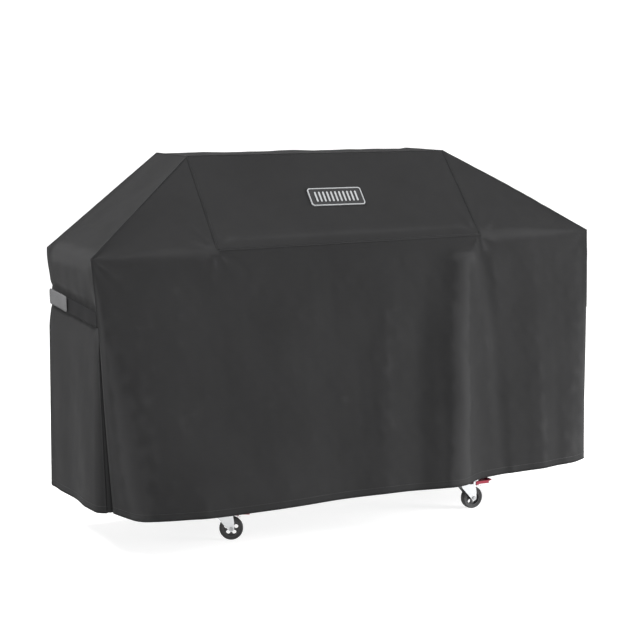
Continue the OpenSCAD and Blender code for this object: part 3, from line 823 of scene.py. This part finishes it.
class Pattern:
    """A Geometry Nodes tree with named inputs, which ends in Realize Instances and Set Material."""

    def __init__(self, name, **sizes):
        self.tree = bpy.data.node_groups.new(name, "GeometryNodeTree")
        self.tree.interface.new_socket("Geometry", in_out="INPUT", socket_type="NodeSocketGeometry")
        self.inputs = {}
        for label, size in sizes.items():
            socket = self.tree.interface.new_socket(label, in_out="INPUT", socket_type="NodeSocketFloat")
            socket.default_value = size
            self.inputs[label] = socket.identifier
        self.tree.interface.new_socket("Geometry", in_out="OUTPUT", socket_type="NodeSocketGeometry")
        self.start = self.tree.nodes.new("NodeGroupInput")
        self.end = self.tree.nodes.new("NodeGroupOutput")

    def size(self, label):
        return self.start.outputs[label]

    def node(self, kind, settings=None, sockets=None, output=0):
        made = self.tree.nodes.new(kind)
        for name, value in (settings or {}).items():
            setattr(made, name, value)
        for name, value in (sockets or {}).items():
            put = made.inputs[name]
            if isinstance(value, bpy.types.NodeSocket):
                self.tree.links.new(value, put)
            else:
                put.default_value = value
        return made.outputs[output]

    def close(self, shape, material):
        real = self.node("GeometryNodeRealizeInstances", {}, {0: shape})
        coated = self.node("GeometryNodeSetMaterial", {}, {0: real, "Material": material})
        self.tree.links.new(coated, self.end.inputs[0])

    def grow(self, name, lines, **sizes):
        """Runs the tree over polylines and gives the plain mesh that comes out."""
        points, edges = [], []
        for line in lines:
            start = len(points)
            points += [tuple(p) for p in line]
            edges += [(start + i, start + i + 1) for i in range(len(line) - 1)]
        guide = bpy.data.meshes.new(name + "_guide")
        guide.from_pydata(points, edges, [])
        carrier = bpy.data.objects.new(name + "_guide", guide)
        bpy.context.scene.collection.objects.link(carrier)
        step = carrier.modifiers.new("pattern", "NODES")
        step.node_group = self.tree
        for label, size in sizes.items():
            step[self.inputs[label]] = size
        graph = bpy.context.evaluated_depsgraph_get()
        plain = bpy.data.meshes.new_from_object(carrier.evaluated_get(graph), depsgraph=graph)
        bpy.data.objects.remove(carrier)
        plain.name = name
        piece = bpy.data.objects.new(name, plain)
        bpy.context.scene.collection.objects.link(piece)
        return piece


welt = Pattern("welt", Radius=1.7 * MM)
seam_run = welt.node("GeometryNodeMeshToCurve", {}, {0: welt.start.outputs[0]})
ring = welt.node("GeometryNodeCurvePrimitiveCircle", {"mode": "RADIUS"},
                 {"Resolution": 8, "Radius": welt.size("Radius")})
welt.close(welt.node("GeometryNodeCurveToMesh", {}, {0: seam_run, 1: ring, "Fill Caps": True}),
           dark_tape)

stitch = Pattern("stitch", Pitch=5.2 * MM, Length=3.6 * MM, Thread=0.42 * MM)
stitch_run = stitch.node("GeometryNodeMeshToCurve", {}, {0: stitch.start.outputs[0]})
holes = stitch.node("GeometryNodeResampleCurve", {"mode": "LENGTH"},
                    {0: stitch_run, "Length": stitch.size("Pitch")})
lie = stitch.node("FunctionNodeAlignRotationToVector", {"axis": "Z"},
                  {"Vector": stitch.node("GeometryNodeInputTangent")})
bead = stitch.node("GeometryNodeMeshCylinder", {"fill_type": "TRIANGLE_FAN"},
                   {"Vertices": 5, "Radius": stitch.size("Thread"), "Depth": stitch.size("Length")})
stitch.close(stitch.node("GeometryNodeInstanceOnPoints", {}, {0: holes, "Instance": bead, "Rotation": lie}),
             charcoal_thread)


def beside(net, edge, away, span=slice(None), raised=0.35 * MM):
    """A line on the cloth that runs a little way in from one of the net's edges."""
    normal = out_of(net)
    if edge in ("left", "right"):
        net, normal = net.transpose(1, 0, 2), normal.transpose(1, 0, 2)
    if edge in ("right", "bottom"):
        net, normal = net[::-1], normal[::-1]
    reach = np.cumsum(np.linalg.norm(np.diff(net, axis=0), axis=2), axis=0)
    reach = np.concatenate([np.zeros((1, net.shape[1])), reach])
    line = []
    for j in range(net.shape[1]):
        at = np.interp(away, reach[:, j], np.arange(len(net)))
        low = min(int(at), len(net) - 2)
        part = at - low
        point = net[low, j] * (1 - part) + net[low + 1, j] * part
        line.append(point + normal[low, j] * raised)
    return np.array(line)[span]


def welts(line, seed=41):
    """A seam's ridge follows its edge with the slight waver of hand-guided sewing."""
    line = np.asarray(line)
    return line + (0.3 * MM * ripple(line, 0.05, seed))[:, None] * np.array([0.3, 0.3, 1.0])


n_gusset = len(left_gusset)
hood_lines = [welts(hood[0]), welts(hood[-1]), welts(hood[:, 0]), welts(hood[:, -1])]
piece = welt.grow("hood_seams", hood_lines, Radius=1.5 * MM)
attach(piece, "cover")
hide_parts("hood_binding")

hip_lines = [welts(back[:, 0]), welts(back[:, -1]), welts(left_all[0]), welts(right_all[0]),
             welts(top[0])]
for net, column in ((left_all, 0), (right_all, -1)):
    edge_line = net[n_gusset - 1:, column]
    hip_lines.append(welts(edge_line[edge_line[:, 2] > 700 * MM]))
piece = welt.grow("hip_seams", hip_lines, Radius=1.5 * MM)
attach(piece, "cover")
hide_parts("hip_binding")

rows_lines = [beside(hood, edge, 5 * MM, slice(1, -1)) for edge in ("top", "bottom", "left", "right")]
rows_lines += [beside(left_all, "top", 5 * MM), beside(right_all, "top", 5 * MM)]
for word in ("left", "right"):
    for edge in ("left", "right"):
        row = beside(end_nets[word], edge, 5 * MM)
        under = np.nonzero(np.abs(row[:, 2] - strap_height(row[:, 1])) < 34 * MM)[0]
        rows_lines += [row[:under[0]], row[under[-1] + 1:]]
rows_lines += [beside(back, edge, 5 * MM) for edge in ("left", "right", "top")]
piece = stitch.grow("seam_stitches", rows_lines)
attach(piece, "cover")

hem_nets = [*front_nets, end_nets["left"], end_nets["right"], back]
hem_rows = [beside(net, "bottom", 21 * MM) for net in hem_nets]
piece = stitch.grow("hem_stitches", hem_rows)
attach(piece, "cover")

# ---- The side straps ----
# A band of 50 mm webbing is sewn into each front corner and draws the end in. Its back
# end carries a light grey hook tab, which grips a darker loop pad sewn to the cloth.


def webbing_coat(name, dark, light, rib, rough):
    """Narrow-woven tape on its own UV, in metres, with ribs along it and picks across it."""
    tape = Coat(name, Specular_IOR_Level=0.08)
    uv = tape.node("ShaderNodeUVMap", {"uv_map": "cut"})
    spot = tape.node("ShaderNodeTexCoord", output=3)
    apart = tape.node("ShaderNodeSeparateXYZ", {}, {0: uv})
    along, across = Wire(tape, apart.socket.node.outputs[0]), Wire(tape, apart.socket.node.outputs[1])
    ribs = (across * (2 * math.pi / rib)).wave()
    picks = (along * (2 * math.pi / (0.8 * rib))).wave()
    fuzz = tape.noise(spot, 700.0, 3.0, 0.7)
    patch = tape.noise(spot, 14.0, 3.0)
    share = ribs * 0.12 + picks * 0.08 + fuzz * 0.5 + patch * 0.4
    tape.set("Base Color", tape.blend(share, dark, light))
    tape.set("Roughness", rough + fuzz * 0.1)
    tape.set("Normal", tape.bump(ribs * 0.6 + picks * 0.3 + fuzz * 0.6, 0.3 * MM, 0.7))
    return tape.material


# The strap is black webbing, coloured darker still as a painted shade from the cloth that bulges above it.
strap_black_and_shade = webbing_coat("strap_webbing", (0.0045, 0.0045, 0.005), (0.010, 0.010, 0.0105), 2.2 * MM, 0.7)
hook_tape = webbing_coat("hook_tape", (0.065, 0.065, 0.067), (0.115, 0.115, 0.117), 1.4 * MM, 0.8)
loop_tape = webbing_coat("loop_tape", (0.014, 0.014, 0.0145), (0.028, 0.028, 0.029), 1.2 * MM, 0.9)


def band(side, start, stop, face, tall, round_ends, seed, lift=0.0):
    """A strip along the end of the cover between two places along Y, its outer face at +-face."""
    n_long, n_tall = 72, 9
    y = np.linspace(start, stop, n_long)[None, :]
    if side < 0:
        y = y[:, ::-1]
    v = np.linspace(0.5, -0.5, n_tall)[:, None]
    near_end = np.minimum(y - start, stop - y)
    curl = round_ends if round_ends else 1e-6
    cut = np.clip(near_end / curl, 0, 1)
    left_over = np.sqrt(np.maximum(curl ** 2 - (curl * (1 - cut)) ** 2, 0))
    half = tall / 2 - (curl - left_over) * (1 if round_ends else 0)
    z = strap_height(y) + 2 * v * half
    spot = np.stack([np.full(z.shape, side * face), y + 0 * z, z], axis=2)
    bow = 1.1 * MM * ripple(spot, 0.11, seed) + lift * smooth_step(30 * MM, 0, stop - y)
    spot[..., 0] += side * (bow + 0 * z)
    return spot


for side, word in ((-1, "left"), (1, "right")):
    web = band(side, (-172 if side < 0 else -152) * MM, 118 * MM, 943.4 * MM, 50 * MM, 0, 51)
    piece = sewn(f"{word}_strap_webbing", [web], strap_black_and_shade, 2.0 * MM)
    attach(piece, f"{word}_strap")
    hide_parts(f"{word}_strap")
    tab = band(side, 104 * MM, 274 * MM, 945.6 * MM, 52 * MM, 9 * MM, 52, 2 * MM)
    piece = sewn(f"{word}_hook_tab", [tab], hook_tape, 1.9 * MM)
    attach(piece, f"{word}_strap")
    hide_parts(f"{word}_strap_tab")
    pad = band(side, 150 * MM, 268 * MM, 938.2 * MM, 46 * MM, 4 * MM, 53)
    piece = sewn(f"{word}_loop_tape", [pad], loop_tape, 1.6 * MM)
    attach(piece, "cover")
    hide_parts(f"{word}_loop_pad")

# ---- The finishes of the hard pieces ----
# Sheet metal is painted or plated and plastic is moulded, and each piece below takes one
# of the two with its own colours.


def metal(name, dark, light, rough, shine, scale=60.0, coat=0.0):
    """Painted or plated sheet: faint cloudiness, fine scratches and a grain under the finish."""
    plate = Coat(name, Metallic=shine, Coat_Weight=coat)
    spot = plate.node("ShaderNodeTexCoord", output=3)
    cloud = plate.noise(spot, 4.0, 4.0)
    grain = plate.noise(spot, scale * 12, 3.0)
    stretch = {"Vector": spot, "Scale": (scale, scale * 9, scale * 9)}
    brushed = plate.noise(plate.node("ShaderNodeMapping", {}, stretch), 1.0, 4.0, 0.6)
    plate.set("Base Color", plate.blend(cloud * 0.5 + grain * 0.3 + brushed * 0.2, dark, light))
    plate.set("Roughness", rough + cloud * 0.08 + brushed * 0.1)
    plate.set("Normal", plate.bump(grain * 0.5 + brushed * 0.5, 0.12 * MM, 0.35))
    return plate.material


def moulded(name, dark, light, rough, scale):
    """Moulded plastic or rubber with a fine pebbled skin."""
    skin = Coat(name, Specular_IOR_Level=0.45)
    spot = skin.node("ShaderNodeTexCoord", output=3)
    pebble = skin.node("ShaderNodeTexVoronoi", {}, {"Vector": spot, "Scale": scale})
    cloud = skin.noise(spot, 30.0, 4.0)
    skin.set("Base Color", skin.blend(cloud * 0.8 + pebble * 0.2, dark, light))
    skin.set("Roughness", rough + cloud * 0.12)
    skin.set("Normal", skin.bump(pebble, 0.15 * MM, 0.3))
    return skin.material


zinc = metal("zinc_plate", (0.42, 0.43, 0.44), (0.66, 0.67, 0.68), 0.3, 0.85)
dull_zinc = metal("dull_zinc", (0.25, 0.255, 0.26), (0.42, 0.43, 0.44), 0.38, 0.8)

# ---- The badge ----
# A moulded black patch with a raised silver border and a row of plain grate bars, sewn
# to the middle of the hood's front.

badge_silver, bar_silver = (0.36, 0.37, 0.38), (0.40, 0.41, 0.42)
finishes = {
    "badge_plate": moulded("badge_rubber", (0.004, 0.004, 0.0045), (0.011, 0.011, 0.012), 0.6, 1400.0),
    "badge_border": metal("badge_silver", badge_silver, (0.55, 0.56, 0.57), 0.34, 0.6, 90.0),
    "badge_bars": metal("badge_bar_silver", bar_silver, (0.60, 0.61, 0.62), 0.3, 0.6, 90.0),
}

# ---- The grill ----
# The cart and its lid, which hold the cover's shape: black enamel on the lid, painted
# sheet steel below it, and a steel handle across the front.

finishes.update({
    "grill_lid": metal("lid_enamel", (0.010, 0.010, 0.011), (0.018, 0.018, 0.019), 0.16, 0.0, 8.0, 0.6),
    "lid_handle": metal("handle_steel", (0.42, 0.42, 0.42), (0.62, 0.62, 0.62), 0.26, 1.0, 40.0),
    "cookbox": metal("cookbox_enamel", (0.012, 0.012, 0.013), (0.022, 0.022, 0.023), 0.34, 0.0, 20.0),
    "left_table": metal("table_paint", (0.055, 0.056, 0.058), (0.085, 0.086, 0.09), 0.36, 0.3, 30.0),
    "cart_cabinet": metal("cart_paint", (0.016, 0.016, 0.017), (0.028, 0.028, 0.03), 0.4, 0.0, 25.0),
})
finishes["right_table"] = finishes["left_table"]
finishes["cart_base"] = finishes["cart_cabinet"]

# ---- The casters ----
# Zinc-plated pressed forks on riveted kingpins, black plastic wheels with spokes and
# dark rubber treads, and a red brake pedal on each front fork.

tread = moulded("tread_rubber", (0.010, 0.010, 0.0105), (0.022, 0.022, 0.023), 0.6, 900.0)
wheel_dark = moulded("wheel_plastic", (0.016, 0.016, 0.017), (0.034, 0.034, 0.036), 0.42, 1200.0)
pedal_red = moulded("pedal_red", (0.22, 0.004, 0.022), (0.34, 0.008, 0.036), 0.34, 1100.0)
finishes.update(caster_plates=zinc, kingpins=dull_zinc, caster_bolts=dull_zinc)
for corner in ("front_left", "front_right", "rear_left", "rear_right"):
    finishes[f"{corner}_fork"] = zinc
    finishes[f"{corner}_axle"] = dull_zinc
    finishes[f"{corner}_hub"] = wheel_dark
    finishes[f"{corner}_tyre"] = tread
for corner in ("front_left", "front_right"):
    finishes[f"{corner}_pedal"] = pedal_red
    finishes[f"{corner}_pedal_spring"] = zinc
for node, finish in finishes.items():
    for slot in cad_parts[node].material_slots:
        slot.material = finish

low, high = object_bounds()
